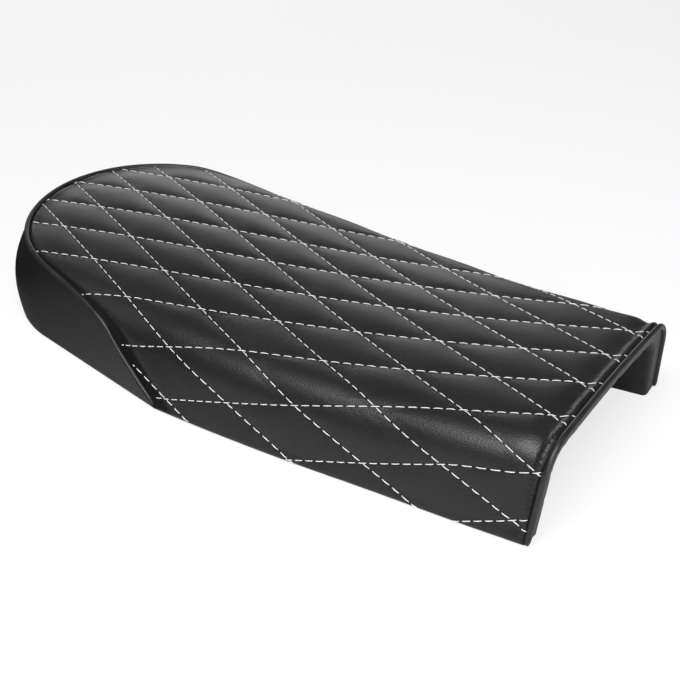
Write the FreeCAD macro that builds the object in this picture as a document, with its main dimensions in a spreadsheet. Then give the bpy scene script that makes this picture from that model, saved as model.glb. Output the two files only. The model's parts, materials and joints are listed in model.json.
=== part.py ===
"""Flat motorcycle seat: a moulded pan, a foam pad, a quilted cover, a plain tail band and front band, two welts,
four mounting studs and four rubber buffers. Millimetres, +X to the front, +Y to the left, +Z up, floor at Z = 0."""
import FreeCAD, Part
import Sketcher
import math
import os
from BOPTools import SplitAPI
from FreeCAD import Placement, Rotation, Vector

doc = FreeCAD.newDocument("flat_seat")

# Driving dimensions
sheet = doc.addObject("Spreadsheet::Sheet", "Sizes")
SIZES = [
    ("seat_length", 540.0, "overall length, tail band to front welt"),
    ("crown_tail", 88.6, "height of the crown line at the tail end"),
    ("crown_rear", 81.6, "height of the crown line a quarter of the way along"),
    ("crown_middle", 70.3, "height of the crown line half way along"),
    ("crown_front", 66.4, "height of the crown line three quarters of the way along"),
    ("crown_nose", 73.3, "height of the crown line at the front end"),
    ("width_tail", 258.0, "width at the floor that the flanks would reach at the tail end"),
    ("width_rear", 262.4, "width at the floor, a quarter of the way along"),
    ("width_middle", 262.6, "width at the floor, half way along"),
    ("width_front", 244.0, "width at the floor, three quarters of the way along"),
    ("width_nose", 210.6, "width at the floor, front end"),
    ("crown_radius", 960.0, "radius of the gentle crown across the seat"),
    ("shoulder_radius", 27.3, "radius where the top turns down into the flank"),
    ("flank_lean", 9.0, "inward lean of the flank, degrees"),
    ("front_lean", 5.7, "forward lean of the front face, degrees"),
    ("tail_radius", 112.5, "plan radius of the rounded tail at the welt"),
    ("tail_flare", 32.0, "how far back the tail band swells past the top of its welt"),
    ("tail_foot", 24.0, "how far back it still stands just below the floor, where it tucks in"),
    ("tail_waist", 24.0, "how far back it stands at the upper level, on its way in to the welt"),
    ("tail_swell_height", 24.0, "height where the tail band swells most"),
    ("tail_waist_height", 53.0, "height of the upper level"),
    ("tail_overhang", 8.0, "how far it would lean in above the welt"),
    ("tail_belly", 2.3, "outward swell of the tail band's sides"),
    ("leg_angle", 9.7, "plan angle of the tail band's straight legs, degrees"),
    ("cover_wall", 3.0, "thickness of the quilted cover and of the tail band"),
    ("foam_side", 6.0, "foam thickness on the flanks and at the tail"),
    ("foam_tail", 34.0, "foam depth on top at the tail end"),
    ("foam_rear", 31.0, "foam depth on top, a quarter of the way along"),
    ("foam_middle", 20.0, "foam depth on top, half way along"),
    ("foam_front", 13.0, "foam depth on top, three quarters of the way along"),
    ("foam_nose", 7.0, "foam depth on top at the front end"),
    ("pan_wall", 2.5, "wall of the moulded pan"),
    ("rib_depth", 6.0, "depth of the ribs under the pan"),
    ("rib_wall", 2.5, "thickness of the ribs under the pan"),
    ("rib_reach", 84.0, "half length of the cross ribs"),
    ("rib_spacing", 62.0, "distance between cross ribs"),
    ("rib_spread", 44.0, "distance of the two long ribs from the middle"),
    ("hem_wall", 1.5, "thickness of the cover where it is turned under the rim"),
    ("hem_height", 20.0, "height of the turned-in hem on the inside of the pan"),
    ("band_wall", 2.5, "thickness of the plain front band"),
    ("welt_radius", 2.75, "radius of the piped welts"),
    ("welt_sink", 2.0, "how far the welts' middle lies below the cover's surface"),
    ("seam_gap", 0.3, "room between the rear welt and the upper edge of the tail band"),
    ("quilt_long", 55.0, "half the length of a quilting diamond, along the seat"),
    ("quilt_cross", 20.95, "half the width of a quilting diamond, across the cover"),
    ("quilt_crossing", -18.8, "place of one seam crossing on the crown line"),
    ("quilt_puff", 2.0, "how far the middle of a diamond stands out above its seams"),
    ("quilt_sink", 0.8, "how far the seams lie below the plain form of the cover"),
    ("quilt_bunch", 6.2, "how far the seams sit back at the front end, where the cover is drawn in"),
    ("quilt_bunch_start", 174.0, "place along the seat where that drawing in starts"),
    ("boss_height", 12.5, "height of a mounting boss from its flat seat to its top"),
    ("stud_radius", 4.0, "radius of the mounting studs"),
    ("stud_reach", 28.0, "length of a stud below its boss"),
    ("stud_neck", 5.0, "radius of the stud's plain neck inside its boss"),
    ("stud_tip", 1.0, "chamfer at the stud's end"),
    ("stud_spacing_long", 250.0, "distance between front and rear studs"),
    ("stud_spacing_cross", 140.0, "distance between left and right studs"),
    ("stud_centre", -15.0, "place of the middle of the stud pattern along the seat"),
    ("flange_radius", 12.0, "radius of the stud's round head"),
    ("flange_wall", 2.5, "thickness of the stud's round head"),
    ("boss_radius", 16.0, "radius of the bosses under the pan"),
    ("boss_rise", 1.5, "how far a boss stands up above the pan"),
    ("fit_gap", 0.2, "clearance of a stud or a buffer stem in its hole"),
    ("buffer_radius", 11.0, "radius of the rubber buffers"),
    ("buffer_height", 10.0, "height of a rubber buffer below its boss"),
    ("buffer_edge", 1.5, "edge rounding of a rubber buffer"),
    ("buffer_stem", 4.0, "radius of a buffer's stem"),
    ("buffer_barb", 6.5, "radius of the barb that holds a buffer in the pan"),
    ("barb_height", 4.0, "height of that barb above its boss"),
    ("buffer_spacing_long", 150.0, "distance between front and rear buffers"),
    ("buffer_spacing_cross", 140.0, "distance between left and right buffers"),
    ("buffer_centre", -15.0, "place of the middle of the buffers along the seat"),
    ("buffer_boss_radius", 13.0, "radius of a buffer's boss"),
    ("buffer_boss_height", 9.0, "height of a buffer's boss from its flat seat to its top"),
]
for row, (alias, value, note) in enumerate(SIZES, start=1):
    sheet.set(f"A{row}", note)
    sheet.set(f"B{row}", str(value))
    sheet.setAlias(f"B{row}", alias)
doc.recompute()


def size(alias):
    """Value of a driving dimension."""
    return float(sheet.get(alias))


def terms(text):
    """Signed names in a sum such as a + b - c."""
    parts = text.replace("-", "+ -").split("+")
    return [part.replace(" ", "") for part in parts if part.strip()]


def value_of(text):
    """Value of a sum of driving dimensions."""
    if text == "0":
        return 0.0
    return sum(-size(part[1:]) if part.startswith("-") else size(part) for part in terms(text))


def bound(text):
    """The same sum as an expression on the sheet."""
    named = [part.replace("-", "-Sizes.") if part.startswith("-") else f"Sizes.{part}" for part in terms(text)]
    return " + ".join(named).replace("+ -", "- ")


HALF = size("seat_length") / 2
FRONT = HALF - size("welt_radius")             # front face at the height of the crown
BELOW = 12.0                                    # how far cutting forms reach past the part
STATIONS = ("tail", "rear", "middle", "front", "nose")
LEAN = math.radians(size("flank_lean"))


def lengthwise(prefix):
    """Places and values of a dimension along the seat, carried on in a straight line past both ends."""
    values = [size(f"{prefix}_{name}") for name in STATIONS]
    places = [-HALF + k * HALF / 2 for k in range(len(STATIONS))]
    reach = 2 * BELOW
    first = values[0] + (values[0] - values[1]) * reach / (HALF / 2)
    last = values[-1] + (values[-1] - values[-2]) * reach / (HALF / 2)
    return [places[0] - reach] + places + [places[-1] + reach], [first] + values + [last]


def section_wire(x, crown, half_width, shoulder, crown_radius):
    """Closed section across the seat: two leaning flanks, two round shoulders and a gentle crown."""
    up = Vector(0, -math.sin(LEAN), math.cos(LEAN))
    inward = Vector(0, -math.cos(LEAN), -math.sin(LEAN))
    foot = Vector(x, half_width, 0)
    middle = Vector(x, 0, crown - crown_radius)
    start = foot + inward * shoulder - middle
    along = start.dot(up)
    span = (crown_radius - shoulder) ** 2 - start.dot(start)
    climb = -along + math.sqrt(along ** 2 + span)
    centre = foot + inward * shoulder + up * climb
    flank_end = centre - inward * shoulder
    outward = (centre - middle).normalize()
    crown_end = middle + outward * crown_radius
    half_turn = (outward - inward).normalize()
    shoulder_mid = centre + half_turn * shoulder
    low = foot - up * (BELOW / math.cos(LEAN))

    def other(point):
        return Vector(point.x, -point.y, point.z)

    top = Vector(x, 0, crown)
    edges = [
        Part.makeLine(other(low), low),
        Part.makeLine(low, flank_end),
        Part.Arc(flank_end, shoulder_mid, crown_end).toShape(),
        Part.Arc(crown_end, top, other(crown_end)).toShape(),
        Part.Arc(other(crown_end), other(shoulder_mid), other(flank_end)).toShape(),
        Part.makeLine(other(flank_end), other(low)),
    ]
    return Part.Wire(edges)


def loft(name, wires):
    """A smooth solid through a row of section wires."""
    sections = []
    for number, wire in enumerate(wires, start=1):
        section = doc.addObject("Part::Feature", f"{name}_section_{number}")
        section.Shape = wire
        sections.append(section)
    body = doc.addObject("Part::Loft", name)
    body.Sections = sections
    body.Solid = True
    body.Ruled = False
    return body


def loaf(name, inset, foam=False):
    """The long wrapped form of the seat, inset from the outer skin, and lowered by the foam's depth on top."""
    places, crowns = lengthwise("crown")
    widths = lengthwise("width")[1]
    depths = lengthwise("foam")[1] if foam else [0.0] * len(places)
    side = inset + (size("foam_side") if foam else 0.0)
    shoulder = size("shoulder_radius") - side
    wires = []
    for x, crown, width, depth in zip(places, crowns, widths, depths):
        half_width = width / 2 - side / math.cos(LEAN)
        wires.append(section_wire(x, crown - inset - depth, half_width, shoulder, size("crown_radius")))
    return loft(name, wires)


def tail_wire(z, spread, swell, inset):
    """Plan outline of the rounded tail at one height: two straight legs and a round end.

    The round end moves back by the spread; the legs keep their place, apart from the swell."""
    angle = math.radians(size("leg_angle"))
    back = spread / (1 - math.sin(angle))
    radius = size("tail_radius") - back * math.sin(angle) + swell
    apex_x = -HALF + size("tail_flare") - spread
    centre = Vector(apex_x + radius, 0, z)
    radius -= inset
    corner = centre + Vector(-math.sin(angle), math.cos(angle), 0) * radius
    leg = (HALF + BELOW * 2 - corner.x) / math.cos(angle)
    tip = corner + Vector(math.cos(angle), math.sin(angle), 0) * leg
    apex = centre - Vector(radius, 0, 0)

    def other(point):
        return Vector(point.x, -point.y, point.z)

    return Part.Wire([
        Part.makeLine(tip, corner),
        Part.Arc(corner, apex, other(corner)).toShape(),
        Part.makeLine(other(corner), other(tip)),
        Part.makeLine(other(tip), tip),
    ])


def tail_form(name, inset):
    """A block that ends in the tail band's surface: flared below, tucked in at the welt."""
    top = size("crown_tail")
    belly = size("tail_belly")
    levels = [
        (-BELOW, size("tail_foot"), 0.0),
        (size("tail_swell_height"), size("tail_flare"), belly),
        (size("tail_waist_height"), size("tail_waist"), belly),
        (top, 0.0, 0.0),
        (top + BELOW, -size("tail_overhang"), 0.0),
    ]
    return loft(name, [tail_wire(z, out, swell, inset) for z, out, swell in levels])


def box(name, low, high):
    """A plain block between two corners, used as a cutting form."""
    block = doc.addObject("Part::Box", name)
    block.Length = high.x - low.x
    block.Width = high.y - low.y
    block.Height = high.z - low.z
    block.Placement = Placement(low, Rotation())
    return block


def common(name, *shapes):
    """What a row of forms share."""
    body = doc.addObject("Part::MultiCommon", name)
    body.Shapes = list(shapes)
    return body


def cut(name, base, tool):
    body = doc.addObject("Part::Cut", name)
    body.Base = base
    body.Tool = tool
    return body


def fuse(name, *shapes):
    body = doc.addObject("Part::MultiFuse", name)
    body.Shapes = list(shapes)
    return body


def front_block(name, back):
    """Everything behind the leaning front face, or behind a plane set back from it."""
    reach = 3 * size("seat_length")
    block = box(name, Vector(0, 0, 0), Vector(reach, reach, reach))
    lean = Rotation(Vector(0, 1, 0), size("front_lean"))
    face = Placement(Vector(FRONT - back, 0, size("crown_nose")), lean)
    block.Placement = face * Placement(Vector(-reach, -reach / 2, -reach / 2), Rotation())
    return block


def layer(name, low, high):
    """A flat layer of space between two heights."""
    reach = size("seat_length")
    return box(name, Vector(-reach, -reach, low), Vector(reach, reach, high))


# Nested forms, from the outer skin inwards
COVER = size("cover_wall")
PAN = COVER + size("pan_wall")
HEM = PAN + size("hem_wall")
RIB = PAN + size("rib_depth")
FOAM_SIDE = size("foam_side")
CEILING = 2 * size("crown_tail")
foam_form = loaf("foam_form", COVER)
pan_form = loaf("pan_form", COVER, foam=True)
hollow_form = loaf("hollow_form", PAN, foam=True)
hem_form = loaf("hem_form", HEM, foam=True)
rib_form = loaf("rib_form", RIB, foam=True)
skin_tail = tail_form("skin_tail", 0.0)
foam_tail = tail_form("foam_tail", COVER)
pan_tail = tail_form("pan_tail", COVER + FOAM_SIDE)
hollow_tail = tail_form("hollow_tail", PAN + FOAM_SIDE)
hem_tail = tail_form("hem_tail", HEM + FOAM_SIDE)
front_face = front_block("front_face", 0.0)
front_seat = front_block("front_seat", size("band_wall"))
above_floor = layer("above_floor", 0.0, CEILING)
above_fold = layer("above_fold", size("hem_wall"), CEILING)
fold_layer = layer("fold_layer", 0.0, size("hem_wall"))
lip_layer = layer("lip_layer", size("hem_wall"), size("hem_height"))
doc.recompute()

# Mounting bosses and buffer bosses: both stand on the highest point of the pan's roof at their own places
def four_places(centre, long_spacing, cross_spacing):
    """Plan places of a pattern of four."""
    x = size(centre)
    along = size(long_spacing) / 2
    across = size(cross_spacing) / 2
    return [(x + sx * along, sy * across) for sx in (1, -1) for sy in (1, -1)]


def roof_height(places):
    """Highest point of the pan's upper side over a row of places."""
    heights = []
    for x, y in places:
        plumb = Part.makeLine(Vector(x, y, 0), Vector(x, y, CEILING))
        heights.append(pan_form.Shape.common(plumb).BoundBox.ZMax)
    return max(heights)


stud_places = four_places("stud_centre", "stud_spacing_long", "stud_spacing_cross")
buffer_places = four_places("buffer_centre", "buffer_spacing_long", "buffer_spacing_cross")
BOSS_TOP = roof_height(stud_places) + size("boss_rise")
BUFFER_BOSS_TOP = roof_height(buffer_places) + size("boss_rise")
MOUNT_LEVEL = BOSS_TOP - size("boss_height")
BUFFER_SEAT = BUFFER_BOSS_TOP - size("buffer_boss_height")


def posts(name, places, low, radius, height):
    """A row of upright round posts; radius and height are sums of driving dimensions."""
    made = []
    for number, (x, y) in enumerate(places, start=1):
        post = doc.addObject("Part::Cylinder", f"{name}_{number}")
        post.setExpression("Radius", bound(radius))
        post.setExpression("Height", bound(height))
        post.Placement = Placement(Vector(x, y, low), Rotation())
        made.append(post)
    return made


stud_bosses = posts("stud_boss", stud_places, MOUNT_LEVEL, "boss_radius", "boss_height")
buffer_bosses = posts("buffer_boss", buffer_places, BUFFER_SEAT, "buffer_boss_radius", "buffer_boss_height")
stud_holes = posts("stud_hole", stud_places, 0.0, "stud_neck + fit_gap", "crown_tail + crown_tail")
buffer_holes = posts("buffer_hole", buffer_places, 0.0, "buffer_stem + fit_gap", "crown_tail + crown_tail")
head_pockets = posts("head_pocket", stud_places, BOSS_TOP, "flange_radius + fit_gap", "flange_wall + fit_gap")
barb_pockets = posts("barb_pocket", buffer_places, BUFFER_BOSS_TOP,
                     "buffer_barb + fit_gap", "barb_height + fit_gap")

# Ribs under the pan: two long ones and a row of cross ribs, all following the roof
rib_half = size("rib_wall") / 2
rib_floor = size("hem_height")
rib_rows = int((HALF - size("rib_reach")) // size("rib_spacing"))
rib_strips = []
for side in (1, -1):
    y = side * size("rib_spread")
    low = Vector(-HALF, y - rib_half, rib_floor)
    high = Vector(HALF - size("rib_spacing"), y + rib_half, CEILING)
    rib_strips.append(box(f"long_rib_{len(rib_strips) + 1}", low, high))
for row in range(-rib_rows, rib_rows + 1):
    x = row * size("rib_spacing")
    low = Vector(x - rib_half, -size("rib_reach"), rib_floor)
    high = Vector(x + rib_half, size("rib_reach"), CEILING)
    rib_strips.append(box(f"cross_rib_{row + rib_rows + 1}", low, high))
rib_grid = fuse("rib_grid", *rib_strips)
rib_room = common("rib_room", rib_grid, pan_form, pan_tail)
ribs = cut("ribs", rib_room, rib_form)

# Base pan: one moulding with its ribs, bosses and holes
pan_block = common("pan_block", pan_form, pan_tail, front_seat, above_fold)
pan_hollow = common("pan_hollow", hollow_form, hollow_tail)
pan_shell = cut("pan_shell", pan_block, pan_hollow)
pan_solid = fuse("pan_solid", pan_shell, ribs, *stud_bosses, *buffer_bosses)
pan_holes = fuse("pan_holes", *stud_holes, *buffer_holes)
base_pan = cut("base_pan", pan_solid, pan_holes)

# Foam pad: fills the room between the pan and the cover
pad_block = common("pad_block", foam_form, foam_tail, front_seat, above_fold)
pan_room = fuse("pan_room", pan_block, *stud_bosses, *buffer_bosses, *head_pockets, *barb_pockets)
pad_over_pan = cut("pad_over_pan", pad_block, pan_room)

# Welts: piping along the front edge of the cover and along the line where the cover meets the tail band
def along_seat(prefix, x):
    """Straight-line value of a lengthwise dimension at a place near the front end."""
    places, values = lengthwise(prefix)
    share = (x - places[-3]) / (places[-2] - places[-3])
    return values[-3] + (values[-2] - values[-3]) * share


def piping(name, path):
    """A round piping along a path of tangent lines and arcs, cut off at the floor."""
    first = path.Edges[0]
    begin = first.valueAt(first.FirstParameter)
    ring = Part.makeCircle(size("welt_radius"), begin, first.tangentAt(first.FirstParameter))
    tube = doc.addObject("Part::Feature", f"{name}_tube")
    tube.Shape = path.makePipe(Part.Face(Part.Wire([ring])))
    return common(name, tube, above_floor)


SINK = size("welt_sink")
tilt = math.radians(size("front_lean"))
front_foot = FRONT - size("crown_nose") * math.tan(tilt)
face_crown = (size("crown_nose") - SINK) / math.cos(tilt)
face_width = along_seat("width", front_foot) / 2 - SINK / math.cos(LEAN)
face_section = section_wire(0, face_crown, face_width, size("shoulder_radius") - SINK, size("crown_radius"))
front_path = Part.Wire(face_section.Edges[1:])
front_path.Placement = Placement(Vector(front_foot, 0, 0), Rotation(Vector(0, 1, 0), size("front_lean")))
front_welt = piping("front_welt", front_path)


def arc_pair(start, start_way, end, end_way):
    """Two tangent arcs that leave one point and reach another in the given directions."""
    chord = end - start
    ways = start_way + end_way
    bend = 2 * (1 - start_way.dot(end_way))
    lean_in = chord.dot(ways)
    reach = (-lean_in + math.sqrt(lean_in ** 2 + bend * chord.dot(chord))) / bend
    joint = (start + start_way * reach + end - end_way * reach) * 0.5
    return [
        tangent_arc(start, start + start_way * reach, joint),
        tangent_arc(joint, end - end_way * reach, end),
    ]


def tangent_arc(start, corner, end):
    """The arc between two points whose end tangents meet in the corner."""
    middle = (start + end) * 0.5
    half = (end - start).Length / 2
    rise = (corner - middle).Length
    turn = math.atan2(rise, half)
    crest = middle + (corner - middle).normalize() * (half * math.tan(turn / 2))
    return Part.Arc(start, crest, end).toShape()


# Rear welt: tangent arcs along the line where the sunk skin and the tail band meet
WELT_STEPS = 7                                  # joints on each side of the rear welt
WELT_SAMPLES = 140                              # points read along each edge of the meeting line
welt_form = loaf("welt_form", SINK)
doc.recompute()
meeting = welt_form.Shape.section(skin_tail.Shape)
side_points = []
for edge in meeting.Edges:
    for point in edge.discretize(WELT_SAMPLES):
        if point.y > 0.5 and point.x < HALF / 2 and point.z > -BELOW / 3:
            side_points.append(point)
side_points.sort(key=lambda point: math.atan2(point.y, -point.x))
travel = [0.0]
for here, there in zip(side_points, side_points[1:]):
    travel.append(travel[-1] + here.distanceToPoint(there))
left_half = []
for step in range(WELT_STEPS):
    target = travel[-1] * (step + 0.5) / (WELT_STEPS - 0.5)
    left_half.append(side_points[min(range(len(travel)), key=lambda k: abs(travel[k] - target))])
right_half = [Vector(point.x, -point.y, point.z) for point in left_half]
joints = left_half[::-1] + right_half
guide = Part.BSplineCurve()
guide.interpolate(joints)
ways = [guide.tangent(guide.parameter(point))[0].normalize() for point in joints]
rear_arcs = []
for here, here_way, there, there_way in zip(joints, ways, joints[1:], ways[1:]):
    rear_arcs += arc_pair(here, here_way, there, there_way)
rear_welt = piping("rear_welt", Part.Wire(rear_arcs))

# Quilting: one smooth patch for each diamond, sewn to a sheet that trims the outside of the cover
SEAM_ROWS = range(-9, 9)                        # numbers of the seams that run each way over the cover
THIRDS = (0.0, 1 / 3, 2 / 3, 1.0)
POLES_FROM_POINTS = (                           # poles of a cubic that runs through four even points
    (1.0, 0.0, 0.0, 0.0),
    (-5 / 6, 3.0, -3 / 2, 1 / 3),
    (1 / 3, -3 / 2, 3.0, -5 / 6),
    (0.0, 0.0, 0.0, 1.0),
)
guides = {}
for prefix in ("crown", "width"):
    places, values = lengthwise(prefix)
    guide = Part.BSplineCurve()
    guide.interpolate(Points=[Vector(x, value, 0) for x, value in zip(places, values)], Parameters=places)
    guides[prefix] = guide


def smooth_value(prefix, x):
    """Value of a lengthwise dimension at any place, held past the last station."""
    guide = guides[prefix]
    return guide.value(min(max(x, guide.FirstParameter), guide.LastParameter)).y


def skin_point(x, across, lift):
    """A point on the cover: its place along, its arc length from the crown line, and its height off the form."""
    crown = smooth_value("crown", x)
    radius = size("crown_radius")
    shoulder = size("shoulder_radius")
    up = Vector(0, -math.sin(LEAN), math.cos(LEAN))
    inward = Vector(0, -math.cos(LEAN), -math.sin(LEAN))
    middle = Vector(x, 0, crown - radius)
    start = Vector(x, smooth_value("width", x) / 2, 0) + inward * shoulder - middle
    along = start.dot(up)
    climb = -along + math.sqrt(along ** 2 + (radius - shoulder) ** 2 - start.dot(start))
    centre = start + up * climb
    turn = math.atan2(centre.y, centre.z)
    crown_arc = radius * turn
    shoulder_arc = shoulder * (math.pi / 2 - LEAN - turn)
    arc = abs(across)
    if arc < crown_arc:
        facing = Vector(0, math.sin(arc / radius), math.cos(arc / radius))
        place = facing * radius
    elif arc < crown_arc + shoulder_arc:
        angle = turn + (arc - crown_arc) / shoulder
        facing = Vector(0, math.sin(angle), math.cos(angle))
        place = centre + facing * shoulder
    else:
        facing = inward * -1
        place = centre + facing * shoulder - up * (arc - crown_arc - shoulder_arc)
    place = middle + place + facing * lift
    return Vector(place.x, math.copysign(place.y, across), place.z)


def seam_place(i, j):
    """Place along and arc length across of a point in the lattice, counted in seams each way."""
    x = size("quilt_crossing") + (i + j) * size("quilt_long")
    start = size("quilt_bunch_start")
    share = max(0.0, x - start) / (HALF - start)
    return x - size("quilt_bunch") * share ** 2, (j - i) * size("quilt_cross")


def rise(a, b):
    """Height of a diamond's surface off the plain form, at a share of the way between its seams."""
    return size("quilt_puff") * 16 * a * (1 - a) * b * (1 - b) - size("quilt_sink")


def diamond(i, j):
    """The smooth patch of one diamond."""
    grid = [[skin_point(*seam_place(i + a, j + b), rise(a, b)) for b in THIRDS] for a in THIRDS]
    surface = Part.BezierSurface()
    surface.increase(3, 3)
    for row, row_shares in enumerate(POLES_FROM_POINTS, start=1):
        for column, column_shares in enumerate(POLES_FROM_POINTS, start=1):
            pole = Vector()
            for points, row_share in zip(grid, row_shares):
                for point, column_share in zip(points, column_shares):
                    pole += point * (row_share * column_share)
            surface.setPole(row, column, pole)
    return surface.toShape()


drape = size("width_middle") / 2 + size("crown_tail")
patches = []
for i in SEAM_ROWS:
    for j in SEAM_ROWS:
        x, across = seam_place(i + 0.5, j + 0.5)
        if abs(x) < HALF + size("quilt_long") and abs(across) < drape:
            patches.append(diamond(i, j))
quilt_sheet = Part.makeShell(patches)
quilt_sheet.sewShape()
proud_form = loaf("proud_form", -2 * size("quilt_puff"))
proud_block = common("proud_block", proud_form, skin_tail, front_face, above_floor)
doc.recompute()
trimmed = SplitAPI.slice(proud_block.Shape, [quilt_sheet], "Split", 0.0)
quilted_block = doc.addObject("Part::Feature", "quilted_block")
quilted_block.Shape = max(trimmed.Solids, key=lambda solid: solid.Volume)

# Top cover: the quilted skin down to the floor, with its hem turned under the rim and up inside the pan
welt_pair = fuse("welt_pair", front_welt, rear_welt)
foam_pad = cut("foam_pad", pad_over_pan, welt_pair)
skin_shell = cut("skin_shell", quilted_block, foam_form)
skin_split = cut("skin_split", skin_shell, welt_pair)
doc.recompute()
skin_seated = doc.addObject("Part::Feature", "skin_seated")
skin_seated.Shape = max(skin_split.Shape.Solids, key=lambda solid: solid.Volume)
hem_hollow = common("hem_hollow", hem_form, hem_tail)
fold_block = common("fold_block", foam_form, foam_tail, front_seat, fold_layer)
fold_ring = cut("fold_ring", fold_block, hem_hollow)
lip_block = common("lip_block", hollow_form, hollow_tail, front_seat, lip_layer)
lip_ring = cut("lip_ring", lip_block, hem_hollow)
hem_ring = fuse("hem_ring", fold_ring, lip_ring)
hem_split = left_half[-1].x
reach = size("seat_length")
ahead = box("ahead_of_split", Vector(hem_split, -reach, -reach), Vector(reach, reach, reach))
behind = box("behind_split", Vector(-reach, -reach, -reach), Vector(hem_split, reach, reach))
cover_hem = common("cover_hem", hem_ring, ahead)
top_cover = fuse("top_cover", skin_seated, cover_hem)

# Rear band: the plain band below the rear welt, with its own hem
band_form = loaf("band_form", SINK + size("welt_radius") + size("seam_gap"))
band_block = common("band_block", band_form, skin_tail, front_face, above_floor)
band_shell = cut("band_shell", band_block, foam_tail)
band_hem = common("band_hem", hem_ring, behind)
rear_band = fuse("rear_band", band_shell, band_hem)

# Front band: the plain strip that closes the front face between the cover and the channel
front_slab = cut("front_slab", front_face, front_seat)
strip_block = common("strip_block", foam_form, front_slab, above_floor)
strip_ring = cut("strip_ring", strip_block, hem_hollow)
front_band = cut("front_band", strip_ring, front_welt)


def turned_body(name, outline):
    """A body turned about its own upright axis; each corner of the outline is a radius and a height."""
    body = doc.addObject("PartDesign::Body", name)
    plane = [item for item in body.Origin.OriginFeatures if item.Role == "XZ_Plane"][0]
    sketch = body.newObject("Sketcher::SketchObject", f"{name}_outline")
    sketch.AttachmentSupport = (plane, "")
    sketch.MapMode = "FlatFace"
    values = [(value_of(radius), value_of(height)) for radius, height in outline]
    count = len(outline)
    for k in range(count):
        start = Vector(*values[k], 0)
        end = Vector(*values[(k + 1) % count], 0)
        sketch.addGeometry(Part.LineSegment(start, end), False)
    for k in range(count):
        sketch.addConstraint(Sketcher.Constraint("Coincident", k, 2, (k + 1) % count, 1))
    for k, (radius, height) in enumerate(outline):
        for kind, axis, text in (("DistanceX", -2, radius), ("DistanceY", -1, height)):
            if text == "0":
                sketch.addConstraint(Sketcher.Constraint("PointOnObject", k, 1, axis))
                continue
            number = sketch.addConstraint(Sketcher.Constraint(kind, -1, 1, k, 1, value_of(text)))
            sketch.setExpression(f"Constraints[{number}]", bound(text))
    turn = body.newObject("PartDesign::Revolution", f"{name}_turn")
    turn.Profile = sketch
    turn.ReferenceAxis = (sketch, ["V_Axis"])
    turn.Angle = 360
    return body


# Mounting studs: round-headed studs that stand through the bosses, heads up in the foam
stud = turned_body("stud", [
    ("0", "0"),
    ("stud_radius - stud_tip", "0"),
    ("stud_radius", "stud_tip"),
    ("stud_radius", "stud_reach"),
    ("stud_neck", "stud_reach"),
    ("stud_neck", "stud_reach + boss_height"),
    ("flange_radius", "stud_reach + boss_height"),
    ("flange_radius", "stud_reach + boss_height + flange_wall"),
    ("0", "stud_reach + boss_height + flange_wall"),
])

# Rubber buffers: round feet that hang below the pan, each held by a barbed stem
rubber = turned_body("rubber", [
    ("0", "0"),
    ("buffer_radius - buffer_edge", "0"),
    ("buffer_radius", "buffer_edge"),
    ("buffer_radius", "buffer_height"),
    ("buffer_stem", "buffer_height"),
    ("buffer_stem", "buffer_height + buffer_boss_height"),
    ("buffer_barb", "buffer_height + buffer_boss_height"),
    ("buffer_stem", "buffer_height + buffer_boss_height + barb_height"),
    ("0", "buffer_height + buffer_boss_height + barb_height"),
])
doc.recompute()


def placed(shape, x, y, z):
    """A copy of a shape at a place."""
    copy = shape.copy()
    copy.Placement = Placement(Vector(x, y, z), Rotation())
    return copy


mounting_studs = doc.addObject("Part::Feature", "mounting_studs")
stud_foot = MOUNT_LEVEL - size("stud_reach")
mounting_studs.Shape = Part.makeCompound([placed(stud.Shape, x, y, stud_foot) for x, y in stud_places])
BUFFER_NAMES = ("front_left", "front_right", "rear_left", "rear_right")
buffers = []
for name, (x, y) in zip(BUFFER_NAMES, buffer_places):
    buffer = doc.addObject("Part::Feature", f"rubber_buffer_{name}")
    buffer.Shape = placed(rubber.Shape, x, y, BUFFER_SEAT - size("buffer_height"))
    buffers.append(buffer)
doc.recompute()

# Check every object, then write one file for each piece
pieces = [base_pan, foam_pad, top_cover, rear_band, front_band, front_welt, rear_welt, mounting_studs] + buffers
for item in doc.Objects:
    if "Invalid" in item.State or "Error" in item.State:
        raise RuntimeError(f"{item.Name} failed: {item.State}")
os.makedirs("parts", exist_ok=True)
for piece in pieces:
    piece.Label = piece.Name
    shape = piece.Shape
    if shape.isNull() or not shape.isValid():
        raise RuntimeError(f"{piece.Label} has no valid shape")
    shape.exportStep(f"parts/{piece.Label}.step")
    print(piece.Label, len(shape.Solids), "solids", round(shape.Volume), "cubic mm", shape.BoundBox)
print("mount level", MOUNT_LEVEL, "boss top", BOSS_TOP, "buffer seat", BUFFER_SEAT)
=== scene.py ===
"""Flat motorcycle seat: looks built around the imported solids. Metres, +X front, +Y left, +Z up."""
import functools
import json
import math

import bmesh
import bpy
import numpy as np
from mathutils import Matrix, Vector, noise

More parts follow.
